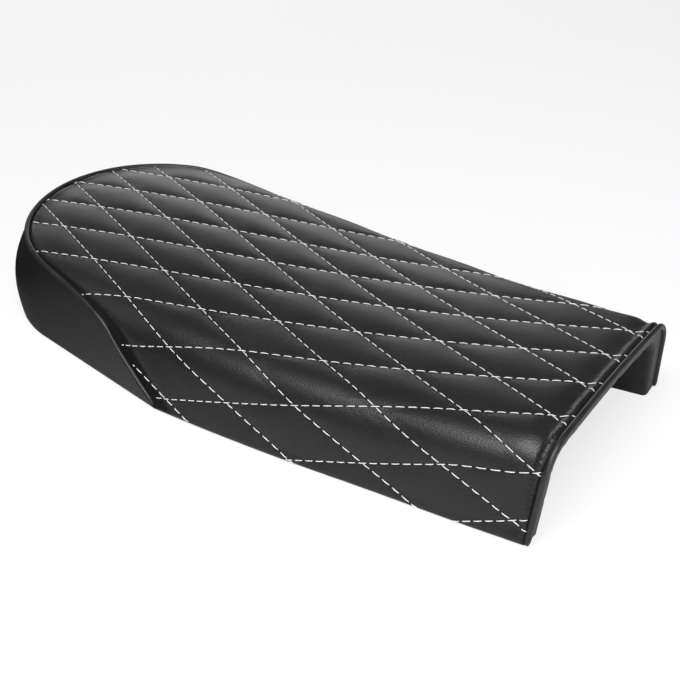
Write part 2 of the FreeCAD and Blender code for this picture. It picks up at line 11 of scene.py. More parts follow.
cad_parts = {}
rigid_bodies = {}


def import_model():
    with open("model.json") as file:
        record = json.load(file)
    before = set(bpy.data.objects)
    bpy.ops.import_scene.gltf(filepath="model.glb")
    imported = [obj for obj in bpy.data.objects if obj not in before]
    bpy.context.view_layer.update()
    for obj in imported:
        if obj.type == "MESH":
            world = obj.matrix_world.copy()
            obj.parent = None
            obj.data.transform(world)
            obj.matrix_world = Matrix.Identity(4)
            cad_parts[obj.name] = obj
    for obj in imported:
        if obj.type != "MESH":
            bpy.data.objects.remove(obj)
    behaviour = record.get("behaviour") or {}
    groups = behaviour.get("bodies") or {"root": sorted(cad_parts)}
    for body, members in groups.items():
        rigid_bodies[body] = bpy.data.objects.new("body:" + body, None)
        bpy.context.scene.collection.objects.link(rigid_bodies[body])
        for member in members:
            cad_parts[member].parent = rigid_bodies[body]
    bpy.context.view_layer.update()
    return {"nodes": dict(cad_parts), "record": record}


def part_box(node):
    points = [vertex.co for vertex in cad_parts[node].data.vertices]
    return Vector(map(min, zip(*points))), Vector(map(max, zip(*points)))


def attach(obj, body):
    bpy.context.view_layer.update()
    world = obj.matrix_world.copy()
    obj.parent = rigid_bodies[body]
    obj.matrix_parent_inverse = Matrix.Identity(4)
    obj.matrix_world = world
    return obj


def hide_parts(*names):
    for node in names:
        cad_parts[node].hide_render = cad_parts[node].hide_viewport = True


for leftover in list(bpy.data.objects):
    bpy.data.objects.remove(leftover)
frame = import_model()

# Base pan: the black moulded plastic shell that carries everything. It comes out of a tool with a fine
# eroded grain, dull on the faces and slightly rubbed along its ribs.
MM = 0.001
PAN_BLACK = (0.022, 0.022, 0.024, 1.0)
PAN_RUBBED = (0.045, 0.045, 0.047, 1.0)


class Finish:
    """A material under construction: a principled shader on Object coordinates, and calls for its nodes."""

    def __init__(self, name, colour, roughness, metallic=0.0, specular=0.5):
        self.material = bpy.data.materials.new(name)
        self.material.use_nodes = True
        self.material.diffuse_color = colour
        self.tree = self.material.node_tree
        self.shader = self.tree.nodes["Principled BSDF"]
        self.shader.inputs["Base Color"].default_value = colour
        self.shader.inputs["Roughness"].default_value = roughness
        self.shader.inputs["Metallic"].default_value = metallic
        self.shader.inputs["Specular IOR Level"].default_value = specular
        self.place = self.tree.nodes.new("ShaderNodeTexCoord").outputs["Object"]

    def node(self, kind, inputs=None, **settings):
        """A node with its settings; an input is a number, a colour or another node's output."""
        made = self.tree.nodes.new(kind)
        for key, value in settings.items():
            setattr(made, key, value)
        for key, value in (inputs or {}).items():
            if isinstance(value, bpy.types.NodeSocket):
                self.tree.links.new(value, made.inputs[key])
            else:
                made.inputs[key].default_value = value
        return made

    def noise(self, scale, detail=4.0, place=None):
        inputs = {"Vector": place or self.place, "Scale": scale, "Detail": detail}
        return self.node("ShaderNodeTexNoise", inputs)

    def spread(self, value, low, high, to_low=0.0, to_high=1.0):
        """A value moved from one range to another and kept inside it."""
        made = self.node("ShaderNodeMapRange", {"Value": value, "From Min": low, "From Max": high,
                                                "To Min": to_low, "To Max": to_high})
        return made.outputs["Result"]

    def sum(self, first, second, share=1.0):
        """First plus a share of second."""
        made = self.node("ShaderNodeMath", operation="MULTIPLY_ADD")
        self.link(second, made.inputs[0])
        made.inputs[1].default_value = share
        self.link(first, made.inputs[2])
        return made.outputs[0]

    def link(self, output, socket):
        self.tree.links.new(output, socket)

    def blend(self, share, first, second):
        """A colour between two colours."""
        made = self.node("ShaderNodeMix", data_type="RGBA")
        self.link(share, made.inputs["Factor"])
        made.inputs["A"].default_value = first
        made.inputs["B"].default_value = second
        return made.outputs["Result"]

    def colour(self, output):
        self.link(output, self.shader.inputs["Base Color"])

    def roughness(self, output):
        self.link(output, self.shader.inputs["Roughness"])

    def bump(self, height, distance, strength=1.0):
        """Relief too fine to model, as a height in metres times the distance."""
        made = self.node("ShaderNodeBump", {"Height": height, "Distance": distance, "Strength": strength})
        self.link(made.outputs["Normal"], self.shader.inputs["Normal"])


def dress(node, finish):
    """Gives a solid of the frame its finish."""
    piece = frame["nodes"][node]
    for slot in piece.material_slots:
        slot.material = finish.material


pan_plastic = Finish("pan_plastic", PAN_BLACK, 0.55, specular=0.4)
pan_grain = pan_plastic.noise(1400.0, 3.0).outputs["Fac"]
pan_cloud = pan_plastic.noise(26.0, 5.0).outputs["Fac"]
pan_plastic.colour(pan_plastic.blend(pan_plastic.spread(pan_cloud, 0.45, 0.8), PAN_BLACK, PAN_RUBBED))
pan_plastic.roughness(pan_plastic.spread(pan_cloud, 0.3, 0.7, 0.48, 0.66))
pan_plastic.bump(pan_grain, 0.06 * MM)
dress("base_pan", pan_plastic)

# Rubber buffers: four soft black feet pressed into the pan, which carry the seat's load on the frame.
# Moulded rubber, dull, with a dusty bloom.
RUBBER_BLACK = (0.02, 0.02, 0.02, 1.0)
RUBBER_BLOOM = (0.05, 0.05, 0.048, 1.0)
buffer_rubber = Finish("buffer_rubber", RUBBER_BLACK, 0.7, specular=0.35)
bloom = buffer_rubber.noise(180.0, 6.0).outputs["Fac"]
buffer_rubber.colour(buffer_rubber.blend(buffer_rubber.spread(bloom, 0.4, 0.75), RUBBER_BLACK, RUBBER_BLOOM))
buffer_rubber.roughness(buffer_rubber.spread(bloom, 0.3, 0.7, 0.62, 0.8))
buffer_rubber.bump(buffer_rubber.noise(900.0).outputs["Fac"], 0.08 * MM)
for corner in ("front_left", "front_right", "rear_left", "rear_right"):
    dress(f"rubber_buffer_{corner}", buffer_rubber)

# Mounting studs: four zinc plated steel studs with a round head, moulded in under the foam. The part below
# the boss carries a rolled coarse thread with a chamfered start.
ZINC = (0.62, 0.62, 0.60, 1.0)
ZINC_DULL = (0.46, 0.46, 0.44, 1.0)
THREAD_PITCH = 1.25 * MM
THREAD_DEPTH = 0.72 * MM
THREAD_STEPS = 20
STUD_RADIUS = 4.0 * MM
STUD_TIP = 1.0 * MM
HEAD_RADIUS = 12.0 * MM
HEAD_WALL = 2.5 * MM
NECK_RADIUS = 5.0 * MM


def piece_from(bm, name, finish, smooth=True):
    """Makes a piece of the scene from a bmesh, riding on the seat's one body."""
    mesh = bpy.data.meshes.new(name)
    bm.to_mesh(mesh)
    bm.free()
    if smooth:
        mesh.shade_smooth()
    mesh.materials.append(finish.material)
    piece = bpy.data.objects.new(name, mesh)
    bpy.context.scene.collection.objects.link(piece)
    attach(piece, "root")
    return piece


zinc_steel = Finish("zinc_steel", ZINC, 0.32, metallic=1.0)
zinc_cloud = zinc_steel.noise(220.0, 5.0).outputs["Fac"]
zinc_steel.colour(zinc_steel.blend(zinc_steel.spread(zinc_cloud, 0.35, 0.7), ZINC, ZINC_DULL))
zinc_steel.roughness(zinc_steel.spread(zinc_cloud, 0.3, 0.7, 0.26, 0.42))
zinc_steel.bump(zinc_steel.noise(2500.0).outputs["Fac"], 0.01 * MM)


def threaded_bar(bm, x, y, low, high):
    """One stud's threaded length: a thread flank spun up a helix, trimmed flat and closed at both ends."""
    start = low - 2 * THREAD_PITCH
    turns = math.ceil((high - start) / THREAD_PITCH) + 1
    root = STUD_RADIUS - THREAD_DEPTH
    outline = [(root, 0.0), (STUD_RADIUS, 0.42), (STUD_RADIUS, 0.58), (root, 1.0)]
    verts = [bm.verts.new((x + radius, y, start + share * THREAD_PITCH)) for radius, share in outline]
    edges = [bm.edges.new(pair) for pair in zip(verts, verts[1:])]
    bmesh.ops.spin(bm, geom=verts + edges, cent=(x, y, 0), axis=(0, 0, 1), angle=turns * 2 * math.pi,
                   dvec=(0, 0, THREAD_PITCH / THREAD_STEPS), steps=turns * THREAD_STEPS, use_merge=False)
    near = [v for v in bm.verts if math.hypot(v.co.x - x, v.co.y - y) < 2 * STUD_RADIUS]
    bmesh.ops.remove_doubles(bm, verts=near, dist=0.02 * MM)
    for level, way in ((low, -1), (high, 1)):
        near = [f for f in bm.faces if math.hypot(f.verts[0].co.x - x, f.verts[0].co.y - y) < 2 * STUD_RADIUS]
        geom = near + list({e for f in near for e in f.edges}) + list({v for f in near for v in f.verts})
        bmesh.ops.bisect_plane(bm, geom=geom, dist=0.001 * MM, plane_co=(0, 0, level), plane_no=(0, 0, way),
                               clear_outer=True)
    for v in bm.verts:
        reach = math.hypot(v.co.x - x, v.co.y - y)
        limit = STUD_RADIUS - STUD_TIP + max(0.0, v.co.z - low)
        if limit < reach < 2 * STUD_RADIUS:
            v.co.x = x + (v.co.x - x) * limit / reach
            v.co.y = y + (v.co.y - y) * limit / reach
    bmesh.ops.holes_fill(bm, edges=[e for e in bm.edges if e.is_boundary], sides=0)


def plain_disc(bm, x, y, low, high, radius, edge):
    """A plain round length of a stud, with its two rims broken."""
    place = Matrix.Translation((x, y, (low + high) / 2))
    made = bmesh.ops.create_cone(bm, cap_ends=True, segments=40, radius1=radius, radius2=radius,
                                 depth=high - low, matrix=place)
    around = {e for v in made["verts"] for e in v.link_edges}
    rims = [e for e in around if abs(e.verts[0].co.z - e.verts[1].co.z) < 0.01 * MM]
    bmesh.ops.bevel(bm, geom=rims, offset=edge, segments=2, profile=0.5, affect="EDGES", material=-1)


mount = next(item for item in frame["record"]["mounts"] if item["name"] == "mounting_studs")
mount_level = mount["pos_m"][2]
stud_low, stud_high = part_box("mounting_studs")
bm = bmesh.new()
for along_way in (1, -1):
    for across_way in (1, -1):
        x = mount["pos_m"][0] + along_way * mount["dims"]["spacing_x_mm"] * MM / 2
        y = across_way * mount["dims"]["spacing_y_mm"] * MM / 2
        threaded_bar(bm, x, y, stud_low.z, mount_level)
        plain_disc(bm, x, y, mount_level, stud_high.z - HEAD_WALL, NECK_RADIUS, 0.3 * MM)
        plain_disc(bm, x, y, stud_high.z - HEAD_WALL, stud_high.z, HEAD_RADIUS, 0.4 * MM)
bmesh.ops.recalc_face_normals(bm, faces=bm.faces)
studs = piece_from(bm, "threaded_studs", zinc_steel, smooth=False)
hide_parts("mounting_studs")

# Foam pad: one block of moulded polyurethane foam between the pan and the cover, hidden all round.
# It is cream coloured and open celled, and each pore is painted darker as painted shade inside the cell.
FOAM_CREAM = (0.42, 0.38, 0.28, 1.0)
FOAM_PORE_SHADE = (0.25, 0.22, 0.15, 1.0)
seat_foam = Finish("seat_foam", FOAM_CREAM, 0.9, specular=0.2)
pores = seat_foam.node("ShaderNodeTexVoronoi", {"Vector": seat_foam.place, "Scale": 900.0})
cells = pores.outputs["Distance"]
# Painted shade: darker towards the middle of each pore, cream between the pores.
seat_foam.colour(seat_foam.blend(seat_foam.spread(cells, 0.1, 0.6), FOAM_PORE_SHADE, FOAM_CREAM))
seat_foam.bump(cells, 0.5 * MM)
dress("foam_pad", seat_foam)

# Quilted cover: one panel of black grained leatherette on thin wadding, sewn in diamonds, then pulled over
# the foam, turned under the rim and stapled inside the pan. Every seam pulls in and every diamond puffs up,
# and beside a welt the cover dips into a valley, rises in a puckered ridge and falls into a groove. The shine
# is turned right down in that groove, and by half along the quilting seams, as painted shade.
HALF = 270.0 * MM
CROWN_HEIGHTS = (88.6 * MM, 81.6 * MM, 70.3 * MM, 66.4 * MM, 73.3 * MM)
FLOOR_WIDTHS = (258.0 * MM, 262.4 * MM, 262.6 * MM, 244.0 * MM, 210.6 * MM)
CROWN_RADIUS = 960.0 * MM
SHOULDER_RADIUS = 27.3 * MM
FLANK_LEAN = math.radians(9.0)
FRONT_LEAN = math.radians(3.0)
FLARE = 4.0 * MM
FLARE_START = 130.0 * MM
WELT_RADIUS = 2.75 * MM
FRONT = HALF - WELT_RADIUS
RIM_OUTER = 3.0 * MM
RIM_INNER = 2.5 * MM
RIM_WIDTH = 13.0 * MM
HEM_HEIGHT = 20.0 * MM
TAIL_LEVELS = (-12.0 * MM, 24.0 * MM, 53.0 * MM, 88.6 * MM, 100.6 * MM)
TAIL_SPREADS = (24.0 * MM, 32.0 * MM, 24.0 * MM, 0.0, -8.0 * MM)
TAIL_SWELLS = (0.0, 2.3 * MM, 2.3 * MM, 0.0, 0.0)
TAIL_FLARE = 32.0 * MM
TAIL_RADIUS = 112.5 * MM
LEG_ANGLE = math.radians(9.7)
DIAMOND_HALF_LENGTH = 55.0 * MM
DIAMOND_HALF_WIDTH = 20.95 * MM
SEAM_CROSSING = -18.8 * MM
BUNCH_START = 174.0 * MM
BUNCH = 6.2 * MM
CORNER_SEAM = 5
CORNER_PULL = 0.19
SEAMS = 9
CELL_STEPS = 18
CELL_CROWDING = 0.35
PUFF = 1.1 * MM
SEAM_DEPTH = 0.8 * MM
PRESSURE = 60.0
SLACK = 0.0012
SWELL_FRAMES = 14
SWELL_CAP = 1.0 * MM
FRONT_VALLEY = 1.9 * MM
TAIL_VALLEY = 0.35 * MM
VALLEY_REACH = 20.0 * MM
VALLEY_FLOOR = 9.5 * MM
RIDGE_RISE = 1.9 * MM
RIDGE_TOP = 5.0 * MM
GROOVE = 2.4 * MM
PUCKER_PITCH = 4.3 * MM
PUCKER_RISE = 0.22 * MM
HEM_SETBACK = 9.0 * MM
HEM_TURN = 8.0 * MM
# Painted shade: the next three numbers set where the leather's shine is turned down, fully in a welt's groove
# and by half on the quilting seams.
CREASE_SHADE_START = 4.0 * MM
CREASE_SHADE_FULL = 2.6 * MM
SEAM_SHADE = 0.5
LEATHER_WALL = 1.1 * MM
LEATHER_BLACK = (0.0095, 0.0095, 0.010, 1.0)
LEATHER_WORN = (0.014, 0.014, 0.0145, 1.0)


def smooth_through(places, values):
    """A natural cubic spline through a few points, as a function."""
    places = np.array(places)
    values = np.array(values)
    count = len(places)
    gaps = np.diff(places)
    slopes = np.diff(values) / gaps
    system = np.eye(count)
    right = np.zeros(count)
    for k in range(1, count - 1):
        system[k, k - 1:k + 2] = gaps[k - 1], 2 * (gaps[k - 1] + gaps[k]), gaps[k]
        right[k] = 6 * (slopes[k] - slopes[k - 1])
    bends = np.linalg.solve(system, right)

    def value_at(place):
        k = int(min(max(np.searchsorted(places, place) - 1, 0), count - 2))
        t = place - places[k]
        fall = slopes[k] - gaps[k] * (2 * bends[k] + bends[k + 1]) / 6
        sway = (bends[k + 1] - bends[k]) / (6 * gaps[k])
        return float(values[k] + t * (fall + t * (bends[k] / 2 + t * sway)))

    return value_at


STATIONS = [-HALF + k * HALF / 2 for k in range(5)]
crown_height = smooth_through(STATIONS, CROWN_HEIGHTS)
floor_width = smooth_through(STATIONS, FLOOR_WIDTHS)
tail_spread = smooth_through(TAIL_LEVELS, TAIL_SPREADS)
tail_swell = smooth_through(TAIL_LEVELS, TAIL_SWELLS)


def ease(share):
    """A soft step from 0 to 1."""
    share = min(max(share, 0.0), 1.0)
    return share * share * (3 - 2 * share)


def flare(x):
    """How far the soft flanks stand out past the foam near the front end."""
    return FLARE * ease((x - FLARE_START) / (HALF - FLARE_START))


@functools.lru_cache(maxsize=None)
def section(x):
    """The cloth's path across the seat at one place: crown, shoulder, flank, rim, underside and hem.

    Each stretch is its start along the path, its start point, its heading and its radius, 0 where straight.
    The heading is the turn from level, so it is also the lean of the outward normal from upright."""
    crown = crown_height(x)
    half_width = floor_width(x) / 2 + flare(x)
    up = Vector((-math.sin(FLANK_LEAN), math.cos(FLANK_LEAN)))
    inward = Vector((-math.cos(FLANK_LEAN), -math.sin(FLANK_LEAN)))
    begin = Vector((half_width, 0.0)) + inward * SHOULDER_RADIUS - Vector((0.0, crown - CROWN_RADIUS))
    rise = begin.dot(up)
    climb = -rise + math.sqrt(rise ** 2 + (CROWN_RADIUS - SHOULDER_RADIUS) ** 2 - begin.dot(begin))
    centre = begin + up * climb
    shoulder_start = math.atan2(centre.x, centre.y)
    flank_turn = math.pi / 2 - FLANK_LEAN
    corner = RIM_OUTER * math.tan((math.pi - flank_turn) / 2)
    inner_corner = RIM_INNER * math.tan(flank_turn / 2)
    bottom = RIM_WIDTH / math.cos(FLANK_LEAN) + flare(x) - corner - inner_corner
    plan = [
        (CROWN_RADIUS * shoulder_start, CROWN_RADIUS),
        (SHOULDER_RADIUS * (flank_turn - shoulder_start), SHOULDER_RADIUS),
        (climb - corner, 0.0),
        (RIM_OUTER * (math.pi - flank_turn), RIM_OUTER),
        (bottom, 0.0),
        (RIM_INNER * flank_turn, RIM_INNER),
        (HEM_HEIGHT - inner_corner, 0.0),
    ]
    stretches = []
    start = 0.0
    point = Vector((0.0, crown))
    turn = 0.0
    for length, radius in plan:
        stretches.append((start, point, turn, radius))
        point, turn = step_along(point, turn, radius, length)
        start += length
    return stretches, start


def step_along(point, turn, radius, length):
    """Where a straight or round stretch leads after a length."""
    if radius == 0.0:
        return point + Vector((math.cos(turn), -math.sin(turn))) * length, turn
    end = turn + length / radius
    out = Vector((math.sin(turn), math.cos(turn)))
    new_out = Vector((math.sin(end), math.cos(end)))
    return point + (new_out - out) * radius, end


FLANK = 2
RIM = 3


def skin(x, across):
    """Point and outward normal on the smooth cover, at a distance across from the crown line."""
    stretches, _ = section(round(x, 6))
    reach = abs(across)
    side = 1.0 if across >= 0 else -1.0
    stretch = stretches[0]
    for candidate in stretches:
        if candidate[0] > reach:
            break
        stretch = candidate
    start, point, turn, radius = stretch
    place, turn = step_along(point, turn, radius, reach - start)
    return Vector((x, side * place.x, place.y)), Vector((0.0, side * math.sin(turn), math.cos(turn)))


def tail_outline(z):
    """Centre and radius of the tail's round end at one height."""
    spread = tail_spread(z)
    back = spread / (1 - math.sin(LEG_ANGLE))
    radius = TAIL_RADIUS - back * math.sin(LEG_ANGLE) + tail_swell(z)
    return -HALF + TAIL_FLARE - spread + radius, radius


def inside_tail(point):
    """Distance inside the tail band's surface; less than nothing outside it."""
    centre, radius = tail_outline(point.z)
    x = point.x - centre
    y = abs(point.y)
    if x * math.cos(LEG_ANGLE) + y * math.sin(LEG_ANGLE) > 0:
        return radius - (y * math.cos(LEG_ANGLE) - x * math.sin(LEG_ANGLE))
    return radius - math.hypot(x, y)


def corner_share(own, other):
    """How much of the pull at a front corner reaches a point of the pattern."""
    return (1 - ease(abs(own - CORNER_SEAM))) * (1 - ease(abs(other)))


def flat_place(i, j):
    """Place along the seat and across it of a point of the quilting pattern; seams lie on whole numbers."""
    i, j = (i + CORNER_PULL * corner_share(i, j), j + CORNER_PULL * corner_share(j, i))
    x = SEAM_CROSSING + (i + j) * DIAMOND_HALF_LENGTH
    share = max(0.0, x - BUNCH_START) / (HALF - BUNCH_START)
    return x - BUNCH * share ** 2, (j - i) * DIAMOND_HALF_WIDTH


def pillow(share):
    """Rise of a diamond across one pair of its seams."""
    share = share % 1.0
    return 4 * share * (1 - share)


def front_gap(point):
    """Distance behind the leaning front face."""
    return (FRONT - (CROWN_HEIGHTS[-1] - point.z) * math.tan(FRONT_LEAN) - point.x) * math.cos(FRONT_LEAN)


def valley(gap, depth, along):
    """How far a welt's seam moves the cover: a valley, a puckered ridge, then a groove at the welt."""
    if gap > VALLEY_REACH:
        return 0.0
    share = depth / FRONT_VALLEY
    fall = ease((VALLEY_REACH - gap) / (VALLEY_REACH - VALLEY_FLOOR))
    ridge = ease((VALLEY_FLOOR - gap) / (VALLEY_FLOOR - RIDGE_TOP))
    groove = ease((RIDGE_TOP - gap) / (RIDGE_TOP - 0.5 * WELT_RADIUS))
    uneven = 1 + 0.6 * noise.noise((along / (3 * PUCKER_PITCH), 0.3, 0.7))
    pucker = PUCKER_RISE * uneven * math.sin(2 * math.pi * along / PUCKER_PITCH) * ridge * (1 - groove)
    return (RIDGE_RISE * ridge + pucker) * share - depth * fall - GROOVE * groove


def quilt(i, j):
    """Point and normal on the quilted cover."""
    x, across = flat_place(i, j)
    point, normal = skin(x, across)
    rim_start = section(round(x, 6))[0][RIM][0]
    fade = ease((rim_start - abs(across)) / HEM_TURN)
    pulled = valley(front_gap(point), FRONT_VALLEY, across)
    if x < 0:
        pulled += valley(inside_tail(point), TAIL_VALLEY, across)
    height = (PUFF * pillow(i) * pillow(j) - SEAM_DEPTH) * (1 - min(1.0, -pulled / FRONT_VALLEY)) + pulled
    return point + normal * height * fade, normal


def welt_foot():
    """Place along the seat where the tail's surface crosses the flank's foot."""
    low, high = -HALF / 2, 0.0
    for _ in range(40):
        middle = (low + high) / 2
        point, _normal = skin(middle, section(round(middle, 6))[0][RIM][0])
        if inside_tail(point) > 0:
            high = middle
        else:
            low = middle
    return high


WELT_FOOT = welt_foot()


def keeps_hem(i, j):
    x, across = flat_place(i, j)
    return section(round(x, 6))[1] - abs(across)


def keeps_front(i, j):
    x, across = flat_place(i, j)
    turned = ease((abs(across) - section(round(x, 6))[0][RIM][0]) / HEM_TURN)
    return front_gap(skin(x, across)[0]) - HEM_SETBACK * turned


def keeps_tail(i, j):
    x, across = flat_place(i, j)
    if abs(across) > section(round(x, 6))[0][RIM][0]:
        return x - WELT_FOOT
    return inside_tail(skin(x, across)[0])


def trim(bm, keeps):
    """Cuts a flat pattern along the line where a margin runs out, and drops what lies beyond."""
    margin = {v: keeps(v.co.x, v.co.y) for v in bm.verts}
    crossed = [e for e in bm.edges if margin[e.verts[0]] * margin[e.verts[1]] < 0]
    cut = []
    for edge in crossed:
        first, second = edge.verts
        share = margin[first] / (margin[first] - margin[second])
        _, vert = bmesh.utils.edge_split(edge, first, share)
        margin[vert] = 0.0
        cut.append(vert)
    bmesh.ops.connect_verts(bm, verts=cut)
    outside = [v for v in bm.verts if margin.get(v, 0.0) < 0]
    bmesh.ops.delete(bm, geom=outside, context="VERTS")


leather = Finish("grained_leatherette", LEATHER_BLACK, 0.4, specular=0.45)
pebble = leather.node("ShaderNodeTexVoronoi", {"Vector": leather.place, "Scale": 1000.0, "Randomness": 0.9},
                      feature="SMOOTH_F1")
pebble.inputs["Smoothness"].default_value = 0.5
wrinkle = leather.noise(700.0, 5.0).outputs["Fac"]
cloud = leather.noise(14.0, 4.0).outputs["Fac"]
leather.colour(leather.blend(leather.spread(cloud, 0.35, 0.75), LEATHER_BLACK, LEATHER_WORN))
leather.roughness(leather.spread(cloud, 0.3, 0.7, 0.36, 0.44))
# Painted shade: a stored attribute turns the shine down in the groove beside each welt and along the quilting
# seams.
crease_shade_share = leather.node("ShaderNodeAttribute", attribute_name="crease_shade").outputs["Fac"]
leather.link(leather.spread(crease_shade_share, 0.0, 1.0, 0.45, 0.03), leather.shader.inputs["Specular IOR Level"])
leather.bump(leather.sum(pebble.outputs["Distance"], wrinkle, 0.5), 0.16 * MM, 0.8)


def swell(piece, sewn):
    """Puffs a piece up by a short cloth simulation: sewn points stay, and no point moves past the cap."""
    group = piece.vertex_groups.new(name="sewn")
    group.add(sewn, 1.0, "REPLACE")
    cloth = piece.modifiers.new("swelling", "CLOTH")
    cloth.settings.vertex_group_mass = group.name
    cloth.settings.use_pressure = True
    cloth.settings.uniform_pressure_force = PRESSURE
    cloth.settings.shrink_min = -SLACK
    cloth.settings.effector_weights.gravity = 0.0
    cloth.collision_settings.use_collision = False
    scene = bpy.context.scene
    for frame_number in range(1, SWELL_FRAMES + 1):
        scene.frame_set(frame_number)
    view = bpy.context.evaluated_depsgraph_get()
    swollen = [v.co.copy() for v in piece.evaluated_get(view).data.vertices]
    piece.modifiers.remove(cloth)
    scene.frame_set(1)
    piece.vertex_groups.remove(group)
    for vert, place in zip(piece.data.vertices, swollen):
        step = place - vert.co
        vert.co += step * min(1.0, SWELL_CAP / max(step.length, 1e-9))


bm = bmesh.new()
bmesh.ops.create_grid(bm, x_segments=2 * SEAMS * CELL_STEPS, y_segments=2 * SEAMS * CELL_STEPS, size=SEAMS)
for v in bm.verts:
    for axis in (0, 1):
        t = v.co[axis]
        v.co[axis] = t - CELL_CROWDING * math.sin(2 * math.pi * t) / (2 * math.pi)
far_off = []
for v in bm.verts:
    x, across = flat_place(v.co.x, v.co.y)
    if not -HALF < x < HALF + 8 * MM or abs(across) > section(round(x, 6))[1] + 12 * MM:
        far_off.append(v)
bmesh.ops.delete(bm, geom=far_off, context="VERTS")
trim(bm, keeps_hem)
trim(bm, keeps_front)
trim(bm, keeps_tail)
beside_welt = []
for edge in bm.edges:
    middle = (edge.verts[0].co + edge.verts[1].co) / 2
    if min(keeps_front(middle.x, middle.y), keeps_tail(middle.x, middle.y)) < VALLEY_FLOOR + 1 * MM:
        beside_welt.append(edge)
bmesh.ops.subdivide_edges(bm, edges=beside_welt, cuts=2, use_grid_fill=True)
crease_shade = bm.verts.layers.float.new("crease_shade")
sewn = bm.verts.layers.int.new("sewn")
for v in bm.verts:
    x, across = flat_place(v.co.x, v.co.y)
    on_seam = min(abs(v.co.x - round(v.co.x)), abs(v.co.y - round(v.co.y))) < 0.02
    turned_under = abs(across) > section(round(x, 6))[0][RIM][0] - 6 * MM
    gap = min(keeps_front(v.co.x, v.co.y), keeps_tail(v.co.x, v.co.y))
    v[sewn] = on_seam or turned_under or gap < VALLEY_REACH or v.is_boundary
    # Painted shade: a vertex in a welt's groove, or on a seam, is marked to lose its shine.
    v[crease_shade] = max(ease((CREASE_SHADE_START - gap) / (CREASE_SHADE_START - CREASE_SHADE_FULL)), SEAM_SHADE * on_seam)
    v.co = quilt(v.co.x, v.co.y)[0]
bmesh.ops.recalc_face_normals(bm, faces=bm.faces)
if sum(f.normal.z for f in bm.faces if f.calc_center_median().z > 60 * MM) < 0:
    bmesh.ops.reverse_faces(bm, faces=bm.faces)
held = [v.index for v in bm.verts if v[sewn]]
bm.verts.layers.int.remove(sewn)
cover = piece_from(bm, "quilted_cover", leather)
swell(cover, held)
wall = cover.modifiers.new("wall", "SOLIDIFY")
wall.thickness = LEATHER_WALL
wall.offset = -1.0
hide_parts("top_cover")

# Stitching: pale polyester thread in long lock stitches along every seam of the quilting. Each stitch is a
# short bridge that dips into the leather at both ends, and it is cut short where a welt covers it.
STITCHES_A_CELL = 7
STITCH_PHASES = (0.0, 0.42)
STITCH_LENGTH = 7.3 * MM
STITCH_WIDTH = 0.75 * MM
SHORTEST_STITCH = 0.3
STITCH_FRONT_GAP = 1.2 * MM
STITCH_TAIL_GAP = 1.0 * MM
STITCH_RIM_REACH = 2.0 * MM
STITCH_PROBES = 6
STITCH_RISE = 0.35 * MM
STITCH_SIDES = 7
STITCH_RINGS = 7
THREAD_WHITE = (0.80, 0.79, 0.77, 1.0)
THREAD_SHADE = (0.62, 0.61, 0.58, 1.0)
SEAM_STEP = math.hypot(DIAMOND_HALF_LENGTH, DIAMOND_HALF_WIDTH)

thread_finish = Finish("pale_thread", THREAD_WHITE, 0.55, specular=0.3)
ply = thread_finish.noise(1500.0, 3.0).outputs["Fac"]
thread_finish.colour(thread_finish.blend(thread_finish.spread(ply, 0.35, 0.7), THREAD_WHITE, THREAD_SHADE))
thread_finish.bump(ply, 0.15 * MM)


bm = bmesh.new()
bmesh.ops.create_uvsphere(bm, u_segments=STITCH_SIDES, v_segments=STITCH_RINGS, radius=1.0)
bead_points = [Vector(v.co) for v in bm.verts]
bead_faces = [[v.index for v in f.verts] for f in bm.faces]
bm.free()


def stitch_points(spot, t, half):
    """One stitch on a seam: a long bead whose ends dip in. The spot gives a point and a normal."""
    way = (spot(t + half)[0] - spot(t - half)[0]).normalized()
    placed = []
    for bare in bead_points:
        along = math.copysign(abs(bare.z) ** 0.75, bare.z)
        point, normal = spot(t + along * half)
        side = way.cross(normal).normalized()
        arch = STITCH_RISE * (1 - 2.6 * along ** 4)
        placed.append(point + side * bare.x * STITCH_WIDTH / 2 + normal * (bare.y * STITCH_WIDTH / 2 + arch))
    return placed


def worth_sewing(x, across):
    """Whether thread here would show: on the cover, between the welts and above the rim."""
    if abs(x) > HALF or abs(across) > section(round(x, 6))[0][RIM][0] + STITCH_RIM_REACH:
        return False
    point = skin(x, across)[0]
    return front_gap(point) > STITCH_FRONT_GAP and inside_tail(point) > STITCH_TAIL_GAP


def shown_span(place, t):
    """Middle and half length of the part of a stitch that shows, or nothing."""
    half = STITCH_LENGTH / 2 / SEAM_STEP
    if worth_sewing(*place(t - half)) and worth_sewing(*place(t + half)):
        return t, half
    probes = [t + half * k / STITCH_PROBES for k in range(-STITCH_PROBES, STITCH_PROBES + 1)]
    shown = [probe for probe in probes if worth_sewing(*place(probe))]
    if not shown or shown[-1] - shown[0] < 2 * half * SHORTEST_STITCH:
        return None
    return (shown[0] + shown[-1]) / 2, (shown[-1] - shown[0]) / 2


